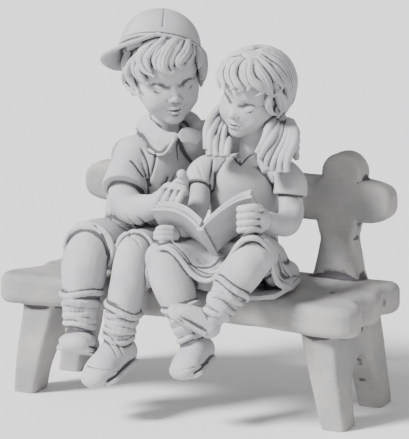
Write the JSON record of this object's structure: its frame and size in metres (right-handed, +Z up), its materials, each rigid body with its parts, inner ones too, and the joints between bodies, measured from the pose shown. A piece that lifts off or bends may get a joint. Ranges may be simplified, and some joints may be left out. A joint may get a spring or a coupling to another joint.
{
  "type": "children on bench statue",
  "caption": "Garden statue of a boy in a peaked cap and a girl with bunches reading an open book together on a rustic slab bench.",
  "frame": {"origin": "on the ground, under the middle of the statue's bounding box", "axes": "+Z up, the children face -Y, +X towards the girl's end of the bench"},
  "size_m": [0.4796, 0.2792, 0.4806],
  "materials": {
    "cast_stone": "matt pale grey cast stone, darker in the hollows"
  },
  "bodies": {
    "root": {"children_on_bench": "cast_stone"}
  },
  "joints": []
}
